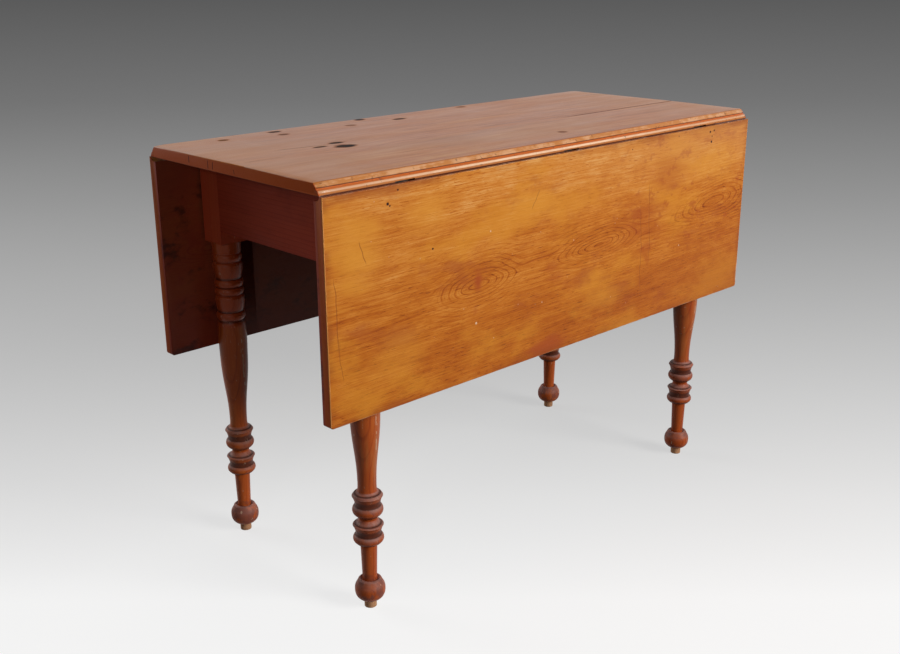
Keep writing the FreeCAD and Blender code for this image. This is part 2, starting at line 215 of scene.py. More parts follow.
def boardPlace(recipe, along):
    # the position with the grain first, then across the face, then through the board
    x, y, z = recipe.split(recipe.place())[:3]
    order = {"X": (x, y, z), "Y": (y, z, x), "Z": (z, x, y), "leaf": (x, z, y)}[along]
    return recipe.join(*order), (x, y, z), order


def fibres(recipe, grain, seed):
    # streaks along the grain, from broad bands to single pores
    shift = (seed * 3.1, seed * 1.7, seed * 2.3)
    broad = recipe.cloud(grain, (1.8, 9, 9), 3, 0.55, shift, 0.4)
    streak = recipe.cloud(grain, (6, 95, 95), 5, 0.65, shift)
    thread = recipe.cloud(grain, (16, 620, 620), 4, 0.7, shift)
    pore = recipe.step(recipe.cloud(grain, (90, 1500, 1500), 1, 0.5, shift), 0.66, 0.74)
    return broad, streak, thread, pore


def ringLines(recipe, distance, spacing):
    # dark late wood at the outside of each year's ring
    turn = recipe.maths("FRACT", distance / spacing)
    rise = recipe.step(turn, 0.45, 0.92)
    fall = recipe.step(turn, 0.92, 1.0, 1.0, 0.0)
    return rise * rise * rise * fall


def dots(recipe, across, up, spots, soft=0.0006):
    # small round marks, each given by its place and radius
    total = None
    for u, v, radius in spots:
        gap = ((across - u) ** 2 + (up - v) ** 2) ** 0.5
        mark = recipe.step(gap, radius - soft, radius + soft, 1.0, 0.0)
        total = mark if total is None else recipe.most(total, mark)
    return total


def strokes(recipe, across, up, lines, wander):
    # thin lines, each from one end to the other with its width, bent by the wander field
    total = None
    for (u0, v0), (u1, v1), width in lines:
        du, dv = u1 - u0, v1 - v0
        length = math.hypot(du, dv)
        a, b = du / length, dv / length
        forward = (across - u0) * a + (up - v0) * b
        sideways = (up - v0) * a - (across - u0) * b + wander
        end = recipe.least(forward, length - forward)
        mark = recipe.step(recipe.size(sideways), width * 0.4, width * 1.2, 1.0, 0.0)
        mark = mark * recipe.step(end, 0.0, length * 0.2)
        total = mark if total is None else recipe.most(total, mark)
    return total


leafLook = {
    "hearts": [(-0.227, 0.533, 0.006, 0.110), (0.075, 0.553, 0.004, 0.135),
               (0.428, 0.560, 0.008, 0.160)],
    "depth": 0.036,
    "ringSpacing": 0.0056,
    "gold": [(-0.47, 0.62, 0.05, 0.06, 0.6), (-0.33, 0.66, 0.07, 0.035, 0.55),
             (0.43, 0.64, 0.08, 0.04, 0.4),
             (-0.10, 0.64, 0.06, 0.03, 0.35), (0.10, 0.43, 0.06, 0.03, 0.35),
             (-0.40, 0.45, 0.06, 0.04, 0.3)],
    "holes": [(-0.415, 0.684, 0.0024), (-0.411, 0.6805, 0.0014), (-0.395, 0.702, 0.0016),
              (0.402, 0.699, 0.0022), (0.408, 0.6795, 0.0024), (0.415, 0.7005, 0.0020),
              (0.409, 0.690, 0.0014), (-0.327, 0.601, 0.0017),
               (0.16, 0.694, 0.0011), (0.30, 0.702, 0.0010)],
    "specks": [(-0.233, 0.460, 0.0021), (-0.201, 0.607, 0.0014), (-0.074, 0.461, 0.0012),
               (-0.192, 0.425, 0.0008), (0.005, 0.556, 0.0010), (0.32, 0.49, 0.0013)],
    "scratches": [((-0.519, 0.60), (-0.513, 0.47), 0.0010),
                  ((-0.512, 0.50), (-0.508, 0.43), 0.0007),
                  ((0.194, 0.60), (0.204, 0.40), 0.0009), ((0.216, 0.64), (0.226, 0.47), 0.0008),
                  ((-0.470, 0.64), (-0.458, 0.60), 0.0010),
                   ((-0.105, 0.625), (-0.085, 0.66), 0.0008)],
    "stains": [(-0.229, 0.528, 0.012, 0.022, 1.0), (-0.235, 0.483, 0.007, 0.010, 0.35),
               (-0.055, 0.380, 0.055, 0.018, 0.9), (-0.05, 0.52, 0.016, 0.011, 0.4),
               (0.20, 0.57, 0.085, 0.05, 0.45), (0.27, 0.63, 0.060, 0.04, 0.40),
               (0.215, 0.50, 0.018, 0.020, 0.5), (-0.04, 0.50, 0.025, 0.010, 0.35)],
}


def ovals(recipe, across, up, spots, ragged):
    # soft uneven patches: centre, half sizes and strength
    total = None
    for u, v, wide, tall, strength in spots:
        gap = (((across - u) / wide) ** 2 + ((up - v) / tall) ** 2) ** 0.5
        mark = recipe.step(gap + ragged, 0.25, 1.25, strength, 0.0)
        total = mark if total is None else recipe.most(total, mark)
    return total


def leafWood(name, side, seed):
    # the wide board of a leaf; side is -1 for the front leaf
    r = Recipe(name)
    grain, (x, y, z), _ = boardPlace(r, "leaf")
    broad, streak, thread, pore = fibres(r, grain, seed)
    wave = r.cloud(grain, (3.5, 16, 16), 3, 0.6, (seed, 0, 0)) - 0.5
    slow = r.cloud(grain, (1.3, 4.5, 4.5), 2, 0.5, (0, seed, 0)) - 0.5
    near = x * -side
    depth = None
    for u, v, shallow, reach in leafLook["hearts"]:
        rise = r.step(r.size(near - u), 0.0, reach, shallow, leafLook["depth"])
        depth = rise if depth is None else r.least(depth, rise)
    middle = 0.540 + 0.030 * near
    across = z - middle + wave * 0.020 + slow * 0.08
    radius = (across ** 2 + depth ** 2) ** 0.5 + wave * 0.010 + (streak - 0.5) * 0.0022
    rings = ringLines(r, radius, leafLook["ringSpacing"])
    fine = ringLines(r, radius, leafLook["ringSpacing"] * 0.37)
    fade = r.step(radius, 0.012, 0.075, 1.0, 0.24)
    fade = fade * r.step(r.cloud(grain, (12, 36, 36), 4, 0.65, (seed, 6, 2)), 0.36, 0.56, 0.25, 1.0)
    dash = r.step(r.cloud(grain, (55, 640, 640), 2, 0.55, (seed, 3, 3)), 0.62, 0.70)

    height = (z - leafLow.z) / (leafHigh.z - leafLow.z)
    mottle = r.cloud(grain, (22, 40, 40), 5, 0.7, (seed, 1, 6))
    tone = (0.57 + (broad - 0.5) * 0.75 + (streak - 0.5) * 0.42 + (thread - 0.5) * 0.95
            + (mottle - 0.5) * 0.55)
    tone = tone - rings * fade * 0.40 - fine * fade * 0.16 - dash * 0.40 - pore * 0.24
    tone = tone + (height - 0.5) * 0.30
    colour = r.ramp(r.limit(tone), woodTones["leaf"])

    # patches of paler gold near the ends, redder bruises, paler towards the top
    patch = r.cloud(grain, (5, 9, 9), 5, 0.62, (seed * 5, 2, 0))
    colour = r.blend(r.step(patch, 0.48, 0.66) * 0.60, colour, (0.68, 0.265, 0.028))
    bruise = r.cloud(grain, (6, 13, 13), 5, 0.66, (2, seed * 4, 1))
    colour = r.blend(r.step(bruise, 0.53, 0.68) * 0.50, colour, (0.38, 0.085, 0.020))
    blush = r.cloud(grain, (26, 34, 34), 4, 0.65, (7, seed, 1))
    region = r.step(near, 0.02, 0.22) * r.step(z, 0.42, 0.52)
    colour = r.blend(r.step(blush, 0.54, 0.66) * region * 0.50, colour, (0.36, 0.058, 0.014))
    pale = r.step(height, 0.62, 1.0) * r.step(near, -0.2, 0.5)
    colour = r.blend(pale * 0.34, colour, (0.62, 0.31, 0.13))
    stain = ovals(r, near, z, leafLook["stains"], wave * 1.6 + (streak - 0.5) * 0.9)
    lowRight = r.step(near, -0.1, 0.5) * r.step(height, 0.55, 0.05)
    colour = r.blend(lowRight * 0.35, colour, (0.38, 0.085, 0.016))
    colour = r.blend(stain, colour, (0.40, 0.080, 0.016))
    gold = ovals(r, near, z, leafLook["gold"], wave * 2.0)
    colour = r.blend(gold, colour, (0.74, 0.31, 0.040))

    # old screw ends, specks, scratches
    holes = dots(r, near, z, leafLook["holes"])
    scratch = strokes(r, near, z, leafLook["scratches"], wave * 0.016)
    speck = dots(r, near, z, leafLook["specks"], 0.0004)
    dust = r.cells(grain, (70, 70, 70))
    chance = r.cloud(grain, (23, 23, 23), 1, 0.5, (seed, 9, 4))
    dust = r.step(dust, 0.05, 0.09, 1.0, 0.0) * r.step(chance, 0.60, 0.66)
    outer = r.step(y * side, leafOut - 0.004, leafOut - 0.001)
    colour = r.blend(scratch * outer * 0.55, colour, (0.22, 0.045, 0.012))
    colour = r.blend(r.most(speck, dust * 0.5) * outer, colour, (0.74, 0.50, 0.32))
    colour = r.blend(holes * outer, colour, (0.035, 0.010, 0.006))

    # arrises rubbed pale in places, dark where dirt gathers, end grain and inner face darker in
    # colour, painted shade along the lip and over the inner face, a painted highlight on the end's
    # outer arris
    edge = r.least(halfLength - r.size(x), r.least(z - leafLow.z, leafHigh.z - z))
    rubbed = r.cloud(grain, (34, 34, 34), 3, 0.6, (seed, 1, 1))
    colour = r.blend(r.step(edge, 0.0004, 0.0022, 1.0, 0.0) * r.step(rubbed, 0.42, 0.60)
                     * outer * 0.75,
                     colour, (0.66, 0.40, 0.22))
    # painted shade along the lip, where it sits in the joint under the top's bead
    lip = r.step(leafHigh.z - z, 0.0003, 0.0011, 1.0, 0.0)
    colour = r.blend(lip * 0.80, colour, (0.130, 0.030, 0.014))
    chips = r.cloud(grain, (60, 60, 60), 2, 0.5, (seed, 8, 1))
    colour = r.blend(lip * r.step(chips, 0.58, 0.64) * r.step(near, 0.1, -0.3, 0.9, 0.25),
                     colour, (0.50, 0.33, 0.24))
    corner = ((near - halfLength) ** 2 + (z - leafLow.z - 0.03) ** 2) ** 0.5
    chips = (r.step(corner + (blush - 0.5) * 0.05, 0.014, 0.020, 1.0, 0.0)
             * r.step(edge, 0.0012, 0.0040, 1.0, 0.0))
    colour = r.blend(chips * outer, colour, (0.70, 0.52, 0.40))
    soiled = r.step(edge, 0.002, 0.016, 1.0, 0.0) * r.step(bruise, 0.40, 0.60)
    colour = r.blend(soiled * outer * 0.45, colour, (0.26, 0.052, 0.012))
    endGrain = r.step(halfLength - r.size(x), 0.0008, 0.0016, 1.0, 0.0)
    colour = r.blend(endGrain * 0.85, colour, (0.40, 0.060, 0.012))
    # painted highlight: a bright orange line on the arris between the shaded end and the outer face
    arris = endGrain * r.step(y * side, leafOut - 0.0024, leafOut - 0.0006)
    colour = r.blend(arris * 0.8, colour, (0.80, 0.34, 0.09))
    inner = r.step(y * side, leafOut - 0.016, leafOut - 0.012, 1.0, 0.0)
    colour = r.blend(inner * 0.80, colour, (0.30, 0.046, 0.030))
    # painted shade in dark patches over the inner face
    innerShadePatches = r.cloud(grain, (14, 20, 20), 4, 0.65, (seed, 5, 5))
    colour = r.blend(inner * r.step(innerShadePatches, 0.52, 0.68) * 0.7, colour, (0.020, 0.008, 0.010))
    # painted shade deepening the inner face away from the ends, under the table
    deepShade = r.step(r.size(x), 0.36, 0.44, 1.0, 0.0)
    colour = r.blend(inner * deepShade * 0.7, colour, (0.055, 0.018, 0.012))

    rough = 0.40 + (streak - 0.5) * 0.22 + (broad - 0.5) * 0.18 + pore * 0.2 + endGrain * 0.2
    relief = thread * 0.45 + streak * 0.6 - pore * 0.6 - holes * 5.0 - scratch * 1.2 - rings * 0.25
    normal = r.bump(relief, 0.32, 0.0006)
    return r.finish(colour, r.limit(rough), normal, {"Specular IOR Level": 0.10})


topLook = {
    "knots": [(-0.421, 0.182, 0.012, 0.009), (-0.306, 0.196, 0.016, 0.008),
              (-0.311, 0.163, 0.013, 0.009),
              (-0.311, -0.009, 0.021, 0.017), (-0.304, 0.026, 0.020, 0.010),
               (-0.347, 0.013, 0.015, 0.007),
              (-0.105, 0.207, 0.016, 0.010), (-0.162, 0.162, 0.012, 0.009),
               (-0.045, 0.163, 0.019, 0.011),
              (0.156, 0.200, 0.013, 0.008), (0.049, -0.163, 0.011, 0.009)],
    "endLines": [((0.108, 0.715), (0.108, 0.728), 0.0012), ((0.053, 0.712), (0.054, 0.728), 0.0010),
                 ((0.040, 0.712), (0.039, 0.727), 0.0010),
                  ((-0.02, 0.714), (-0.018, 0.722), 0.0008)],
    "dark": [1.0, 0.95, 0.62, 1.0, 1.0, 0.85, 0.9, 0.45, 0.75, 0.5, 0.55],
    "cracks": [((-0.425, 0.036), (-0.312, 0.022), 0.0010),
               ((0.17, -0.0468), (0.60, -0.0472), 0.0026),
               ((0.47, 0.150), (0.545, 0.116), 0.0011), ((-0.52, -0.02), (-0.44, -0.022), 0.0006),
               ((-0.30, -0.120), (-0.16, -0.128), 0.0005), ((0.02, 0.07), (0.20, 0.064), 0.0005)],
}


def topWood(name, seed, gloss=0.17):
    r = Recipe(name)
    grain, (x, y, z), _ = boardPlace(r, "X")
    broad, streak, thread, pore = fibres(r, grain, seed)
    wave = r.cloud(grain, (3.0, 14, 14), 3, 0.6, (seed, 0, 0)) - 0.5
    slow = r.cloud(grain, (1.1, 4.0, 4.0), 2, 0.5, (0, seed, 0)) - 0.5

    # the grain parts around each knot
    push = None
    knot = None
    for (u, v, wide, tall), dark in zip(topLook["knots"], topLook["dark"]):
        gap = (((x - u) / wide) ** 2 + ((y - v) / tall) ** 2) ** 0.5
        lift = r.step(gap, 0.0, 4.5, 0.012, 0.0)
        push = lift if push is None else push + lift
        core = r.step(gap + wave * 1.3 + (streak - 0.5) * 0.9, 0.45, 1.15, dark, 0.0)
        knot = core if knot is None else r.most(knot, core)
    across = y + 0.05 + wave * 0.016 + slow * 0.06
    radius = (across ** 2 + 0.0024) ** 0.5 + push
    rings = ringLines(r, radius, 0.0078)
    fine = ringLines(r, radius, 0.0031)

    tone = 0.52 + (broad - 0.5) * 0.90 + (streak - 0.5) * 1.0 + (thread - 0.5) * 1.0
    tone = tone - rings * 0.20 - fine * 0.08 - pore * 0.12
    colour = r.ramp(r.limit(tone), woodTones["top"])
    haze = r.cloud(grain, (2.0, 5, 5), 3, 0.6, (seed * 2, 3, 0))
    colour = r.blend(r.step(haze, 0.50, 0.70) * 0.35, colour, (0.53, 0.25, 0.12))
    zone = r.cloud(grain, (2.6, 3.4, 3.4), 3, 0.55, (seed, 1, 9))
    colour = r.blend(r.step(zone, 0.50, 0.68) * 0.35, colour, (0.36, 0.115, 0.030))
    worn = r.cloud(grain, (5.0, 22, 22), 4, 0.65, (3, seed, 7))
    colour = r.blend(r.step(worn, 0.60, 0.74) * 0.30, colour, (0.30, 0.105, 0.045))
    around = r.step(knot, 0.02, 0.5)
    colour = r.blend(around * 0.85, colour, (0.20, 0.070, 0.030))
    colour = r.blend(r.step(knot, 0.45, 0.80), colour, (0.004, 0.002, 0.002))
    ends = r.step(r.size(x), 0.28, 0.50)
    colour = r.blend(ends * (0.2 + haze * 0.5), colour, (0.52, 0.185, 0.040))
    crack = strokes(r, x, y, topLook["cracks"], wave * 0.004)
    crack = r.most(crack * r.step(streak, 0.30, 0.46), crack * r.step(x, 0.18, 0.24))
    upper = r.step(z, tableHeight - 0.004, tableHeight - 0.002)
    colour = r.blend(crack * upper * 0.85, colour, (0.045, 0.018, 0.010))

    # moulded edge: pale rubbed arrises, warm orange faces, dirt and painted shade in the corner of
    # the fillet and along the bottom of the bead, a painted highlight on the bead's crown
    out = r.size(y)
    edge = r.step(out, pivot.y * -1 - 0.0014, pivot.y * -1 + 0.0005)
    colour = r.blend(edge * 0.80, colour, (0.54, 0.190, 0.052))
    rubbed = r.cloud(grain, (42, 60, 60), 3, 0.6, (seed, 1, 5))
    chamfer = edge * r.step(z, tableHeight - 0.0080, tableHeight - 0.0070)
    colour = r.blend(chamfer, colour, (0.56, 0.215, 0.060))
    colour = r.blend(chamfer * r.step(rubbed + (thread - 0.5) * 0.8, 0.40, 0.66) * 0.7,
                     colour, (0.78, 0.44, 0.24))
    # dirt and painted shade: a dark line in the corner below the chamfer and along the bottom of
    # the bead over the joint gap
    dirtAndShade = r.step(r.size(z - (tableHeight - 0.0078)), 0.0004, 0.0011, 1.0, 0.0) * edge * 0.9
    dirtAndShade = r.most(dirtAndShade, edge * r.step(z, underTop + 0.0022, underTop + 0.0008))
    fillet = r.step(r.size(z - (underTop + 0.0095)), 0.0014, 0.0020, 1.0, 0.0) * edge
    colour = r.blend(fillet, colour, (0.60, 0.135, 0.018))
    # painted highlight along the bead's crown, brightest near the middle of the length
    beadHighlight = r.step(r.size(z - (underTop + 0.0058)), 0.0008, 0.0022, 1.0, 0.0) * edge
    bright = r.step(r.size(x + 0.05), 0.06, 0.50, 1.0, 0.45)
    colour = r.blend(beadHighlight * bright * (0.6 + rubbed * 0.6), colour, (0.95, 0.66, 0.44))
    colour = r.blend(dirtAndShade * 0.86, colour, (0.060, 0.016, 0.010))
    nick = r.step(r.cloud(grain, (120, 120, 120), 2, 0.5, (0, 0, seed)), 0.63, 0.70)
    arris = r.step(r.size(tableHeight - z), 0.0, 0.0009, 1.0, 0.0)
    arris = arris * r.step(r.size(out - (-pivot.y - 0.0015)), 0.0002, 0.0016, 1.0, 0.0)
    colour = r.blend(r.most(arris * 0.55, edge * nick * 0.5), colour, (0.13, 0.045, 0.025))
    endGrain = r.step(halfLength - r.size(x), 0.0008, 0.0016, 1.0, 0.0)
    endGrain = endGrain * r.step(z, tableHeight - 0.0008, tableHeight - 0.0020)
    colour = r.blend(endGrain * 0.85, colour, (0.58, 0.095, 0.020))
    lines = strokes(r, y, z, topLook["endLines"], wave * 0.004)
    colour = r.blend(endGrain * lines * 0.9, colour, (0.020, 0.006, 0.005))
    # painted shade on the underside of the top
    undersideShade = r.step(z, underTop + 0.0010, underTop + 0.0003)
    colour = r.blend(undersideShade * 0.85, colour, (0.10, 0.024, 0.014))

    rough = (0.34 + (broad - 0.5) * 0.16 + (worn - 0.5) * 0.25 + knot * 0.6 + crack * 0.5
             - edge * 0.10)
    relief = thread * 0.35 + streak * 0.5 - pore * 0.4 - crack * 3.0 - knot * 1.2 + wave * 1.5
    normal = r.bump(relief, 0.26, 0.0006)
    return r.finish(colour, r.limit(rough), normal, {"Specular IOR Level": gloss})


legLook = {"full": 0.0254, "ringsFrom": 0.110, "ringsTo": 0.216, "cupsFrom": 0.405, "cupsTo": 0.560}


def legWood(name, centre, seed):
    # turned cherry: dirt and painted shade in the grooves, painted shade under the rings and in the
    # recessed waists, rubbed and dusty on what stands out
    r = Recipe(name)
    x, y, z = r.split(r.place())[:3]
    grain = r.join(z, x, y)
    broad, streak, thread, pore = fibres(r, grain, seed)
    dx, dy = x - centre[0], y - centre[1]
    radius = (dx ** 2 + dy ** 2) ** 0.5
    rings = ringLines(r, ((x - centre[0] - 0.03) ** 2 + (y - centre[1] - 0.02) ** 2) ** 0.5
                      + (broad - 0.5) * 0.006, 0.0042)
    tone = (0.52 + (broad - 0.5) * 0.70 + (streak - 0.5) * 0.50 + (thread - 0.5) * 0.30
            - rings * 0.16)
    tone = tone - pore * 0.1
    colour = r.ramp(r.limit(tone), woodTones["leg"])

    full = legLook["full"]
    low = r.step(z, legLook["ringsTo"] + 0.004, legLook["ringsTo"] - 0.004)
    low = low * r.step(z, legLook["ringsFrom"] - 0.004, legLook["ringsFrom"] + 0.004)
    ball = r.step(z, 0.066, 0.061)
    high = r.step(z, legLook["cupsFrom"] - 0.003, legLook["cupsFrom"] + 0.003)
    high = high * r.step(z, legLook["cupsTo"], legLook["cupsTo"] - 0.002)
    turned = r.most(r.most(low, high), ball)
    patchy = r.cloud(grain, (30, 42, 42), 4, 0.65, (seed, 2, 8))
    proud = r.step(radius, full - 0.0045, full - 0.0008)
    facing = r.node("ShaderNodeNewGeometry", output="Normal")
    upward = r.step(r.split(facing)[2], -0.05, 0.75)
    dusty = r.most(low, ball) * (0.45 + 0.55 * r.step(patchy, 0.36, 0.60))
    colour = r.blend(dusty * upward * 0.80, colour, (0.30, 0.175, 0.155))
    colour = r.blend(dusty * proud * (1.0 - upward) * 0.45 * r.step(patchy, 0.44, 0.58),
                     colour, (0.20, 0.085, 0.070))
    colour = r.blend(ball * r.step(patchy, 0.46, 0.60) * 0.5, colour, (0.12, 0.040, 0.034))
    # painted shade on the downward faces of the rings and cups
    downFacingShade = r.step(r.split(facing)[2], -0.15, -0.85) * r.most(low, high)
    colour = r.blend(downFacingShade * 0.55, colour, (0.085, 0.016, 0.007))
    # painted shade in the narrow recessed parts among the lower rings
    waistShade = low * r.step(radius, full - 0.0020, full - 0.0042) * r.step(radius, 0.0180, 0.0200)
    colour = r.blend(waistShade * 0.55, colour, (0.055, 0.012, 0.007))
    colour = r.blend(high * 0.45, colour, (0.42, 0.050, 0.014))
    # dirt and painted shade in the grooves
    grooveDirtAndShade = r.step(radius, full - 0.0022, full - 0.0034) * high
    grooveDirtAndShade = r.most(grooveDirtAndShade,
                    r.step(radius, full - 0.0026, full - 0.0040) * low
                    * r.step(radius, 0.0195, 0.021))
    colour = r.blend(grooveDirtAndShade * 0.72, colour, (0.040, 0.009, 0.005))
    shaft = 1.0 - turned
    gold = r.cloud(grain, (5, 40, 40), 3, 0.6, (1, seed, 3))
    colour = r.blend(shaft * r.step(gold, 0.52, 0.70) * 0.40, colour, (0.46, 0.165, 0.042))

    # a broken pale line and chips down the vase, square post a plainer red brown
    chip = r.step(r.cloud(grain, (70, 190, 190), 2, 0.6, (seed, seed, 0)), 0.66, 0.71)
    around = r.size((dx * 0.86 - dy * 0.5) - 0.0145 + (patchy - 0.5) * 0.004)
    lineBreaks = r.cloud(grain, (60, 90, 90), 3, 0.6, (2, 2, seed))
    paleLine = r.step(around, 0.0004, 0.0014, 1.0, 0.0) * shaft * r.step(lineBreaks, 0.48, 0.56)
    paleLine = paleLine * r.step(z, 0.26, 0.30) * r.step(dy, 0.002, -0.002)
    colour = r.blend(r.most(chip * (0.30 + 0.4 * ball), paleLine * 0.7),
                     colour, (0.60, 0.40, 0.27))
    post = r.step(z, legLook["cupsTo"] - 0.002, legLook["cupsTo"])
    colour = r.blend(post * 0.70, colour, (0.54, 0.072, 0.034))

    rough = 0.32 + (broad - 0.5) * 0.16 + dusty * 0.20 + pore * 0.15 - high * 0.04 + post * 0.2
    relief = thread * 0.5 + streak * 0.5 - pore * 0.5 + (patchy - 0.5) * turned * 1.2 - chip * 0.8
    normal = r.bump(relief, 0.30, 0.0006)
    return r.finish(colour, r.limit(rough), normal, {"Specular IOR Level": 0.15})


def apronWood(name, along, seed, tones="apron"):
    r = Recipe(name)
    grain, (x, y, z), order = boardPlace(r, along)
    broad, streak, thread, pore = fibres(r, grain, seed)
    wave = r.cloud(grain, (3.0, 14, 14), 3, 0.6, (seed, 0, 0)) - 0.5
    rings = ringLines(r, order[1] + order[2] * 0.7 + wave * 0.02, 0.0072)
    tone = (0.52 + (broad - 0.5) * 0.55 + (streak - 0.5) * 0.34 + (thread - 0.5) * 0.24
            - rings * 0.14)
    colour = r.ramp(r.limit(tone - pore * 0.1), woodTones[tones])
    grime = r.cloud(grain, (7, 12, 12), 4, 0.62, (seed, 4, 4))
    colour = r.blend(r.step(grime, 0.55, 0.74) * 0.35, colour, (0.12, 0.024, 0.014))
    rough = 0.46 + (broad - 0.5) * 0.2 + (grime - 0.5) * 0.3
    relief = thread * 0.5 + streak * 0.6 - pore * 0.5 + wave * 0.8
    return r.finish(colour, r.limit(rough), r.bump(relief, 0.30, 0.0006),
                    {"Specular IOR Level": 0.06})


def plainWood(name, along, light, dark, seed):
    # bare wood that was never finished
    r = Recipe(name)
    grain, (x, y, z), order = boardPlace(r, along)
    broad, streak, thread, pore = fibres(r, grain, seed)
    rings = ringLines(r, order[1] + (broad - 0.5) * 0.01, 0.0034)
    tone = r.limit(0.55 + (broad - 0.5) * 0.7 + (streak - 0.5) * 0.5 + (thread - 0.5) * 0.3
                   - rings * 0.25)
    middle = tuple((a + b) / 2 for a, b in zip(light, dark))
    colour = r.ramp(tone, [(0.0, dark), (0.5, middle), (1.0, light)])
    grime = r.cloud(grain, (30, 40, 40), 4, 0.65, (seed, 0, 6))
    colour = r.blend(r.step(grime, 0.52, 0.70) * 0.5, colour, tuple(v * 0.45 for v in dark))
    rough = 0.68 + (grime - 0.5) * 0.25
    return r.finish(colour, r.limit(rough), r.bump(thread + streak - pore, 0.4, 0.0006),
                    {"Specular IOR Level": 0.3})


def agedIron(name, seed):
    # hinge plates and screws, browned with thin rust and rubbed on the knuckles
    r = Recipe(name)
    place = r.place()
    blotch = r.cloud(place, (90, 90, 90), 4, 0.6, (seed, 0, 0))
    pits = r.cloud(place, (900, 900, 900), 3, 0.6, (0, seed, 0))
    rust = r.step(blotch, 0.48, 0.66)
    colour = r.blend(rust, (0.085, 0.075, 0.068), (0.150, 0.062, 0.028))
    shine = r.step(r.cloud(place, (40, 400, 400), 3, 0.6, (1, 0, seed)), 0.56, 0.66)
    colour = r.blend(shine * (1.0 - rust) * 0.7, colour, (0.30, 0.28, 0.26))
    metal = 0.85 - rust * 0.65
    rough = 0.42 + rust * 0.35 + (pits - 0.5) * 0.2
    normal = r.bump(pits + blotch * 0.5, 0.35, 0.0004)
    return r.finish(colour, r.limit(rough), normal, {"Metallic": metal})


wear = {
    "spacing": 0.016,      # length between cross sections
    "arris": 0.0007,       # width of the rubbed corner
    "wobble": 0.00022,     # how unevenly it is rubbed
    "corner": 0.0035,      # extra loss at the ends of the top's edge
    "cornerReach": 0.012,  # how far that loss runs in from the end
    "seamOpen": 0.0016,    # how far the glue line has opened at the right end
    "seamStart": 0.1,      # where along the top it begins to open
}


def mergedCopy(nodeName):
    shape = bmesh.new()
    shape.from_mesh(nodes[nodeName].data)
    bmesh.ops.remove_doubles(shape, verts=shape.verts, dist=2e-6)
    bmesh.ops.dissolve_limit(shape, angle_limit=math.radians(0.6),
                             verts=shape.verts, edges=shape.edges)
    return shape


def sliceAlong(shape, start, end, spacing):
    count = int((end - start) / spacing)
    for i in range(1, count):
        x = start + (end - start) * i / count
        everything = shape.verts[:] + shape.edges[:] + shape.faces[:]
        bmesh.ops.bisect_plane(shape, geom=everything, dist=1e-6,
                               plane_co=(x, 0, 0), plane_no=(1, 0, 0))


def sharpEdges(shape, wanted):
    return [e for e in shape.edges
            if e.is_manifold and e.calc_face_angle(0) > math.radians(24) and wanted(e)]


def makePiece(shape, name, body, materials, replaced, sharp=28):
    mesh = bpy.data.meshes.new(name)
    shape.to_mesh(mesh)
    shape.free()
    for polygon in mesh.polygons:
        polygon.use_smooth = True
    mesh.set_sharp_from_angle(angle=math.radians(sharp))
    piece = bpy.data.objects.new(name, mesh)
    scene.collection.objects.link(piece)
    for material in materials:
        mesh.materials.append(material)
    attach(piece, body)
    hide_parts(*replaced)
    return piece


def rubArrises(shape, edges):
    bmesh.ops.bevel(shape, geom=edges, offset=wear["arris"], offset_type="OFFSET", segments=2,
                    profile=0.5, affect="EDGES", clamp_overlap=True, material=-1)


def wornTop(nodeName, name, materials):
    shape = mergedCopy(nodeName)
    sliceAlong(shape, -halfLength, halfLength, wear["spacing"])
    side = -1 if nodeName.endswith("front") else 1

    def arris(edge):
        a, b = edge.verts
        if min(a.co.z, b.co.z) < underTop + 0.0035:
            return False
        return (max(abs(a.co.y - seamAt), abs(b.co.y - seamAt)) > 0.002
                or abs(a.co.x - b.co.x) < 1e-5)

    rubArrises(shape, sharpEdges(shape, arris))
    for v in shape.verts:
        out = v.co.y * side
        if abs(v.co.y - seamAt) < 0.0004 and v.co.x > wear["seamStart"]:
            ease = min(1.0, (v.co.x - wear["seamStart"]) / (halfLength - wear["seamStart"]))
            v.co.y += side * wear["seamOpen"] * 0.5 * ease
        if out > -pivot.y - 0.003 and v.co.z > underTop + 0.003:
            n = noise.noise_vector(v.co * 45) * wear["wobble"]
            v.co += Vector((0, n.y, n.z))
            gone = max(0.0, 1 - (halfLength - abs(v.co.x)) / wear["cornerReach"])
            v.co.y -= side * gone * gone * wear["corner"] * 0.5
            share = 1 if v.co.z > tableHeight - 0.002 else 0.2
            v.co.z -= gone * gone * wear["corner"] * 0.35 * share
            v.co.z = min(v.co.z, tableHeight)
    shape.normal_update()
    for face in shape.faces:
        face.material_index = 1 if abs(face.normal.x) > 0.9 or face.normal.z < -0.9 else 0
    return makePiece(shape, name, "frame", materials, [nodeName])


def wornLeaf(nodeName, name, body, material):
    shape = mergedCopy(nodeName)
    sliceAlong(shape, -halfLength, halfLength, wear["spacing"])
    side = -1 if nodeName.endswith("front") else 1
    innerFace = leafOut - (leafHigh.y - leafLow.y)

    def arris(edge):
        a, b = edge.verts
        if a.co.y * side > leafOut - 0.0015 and b.co.y * side > leafOut - 0.0015:
            return False
        middle = (a.co + b.co) / 2
        low = middle.z < leafLow.z + 0.001
        end = halfLength - abs(middle.x) < 1e-4 and abs(a.co.x - b.co.x) < 1e-5
        lip = middle.z > leafHigh.z - 0.0005 and middle.y * side > innerFace + 0.012
        return low or end or lip

    rubArrises(shape, sharpEdges(shape, arris))
    for v in shape.verts:
        edge = min(halfLength - abs(v.co.x), v.co.z - leafLow.z, leafHigh.z - v.co.z)
        if edge < 0.0016:
            n = noise.noise_vector(v.co * 38) * wear["wobble"] * 1.4
            inward = Vector((-math.copysign(1, v.co.x) * (halfLength - abs(v.co.x) < 0.0016), 0, 0))
            v.co += inward * abs(n.x) + Vector((0, -side * abs(n.y), 0))
    return makePiece(shape, name, body, [material], [nodeName])


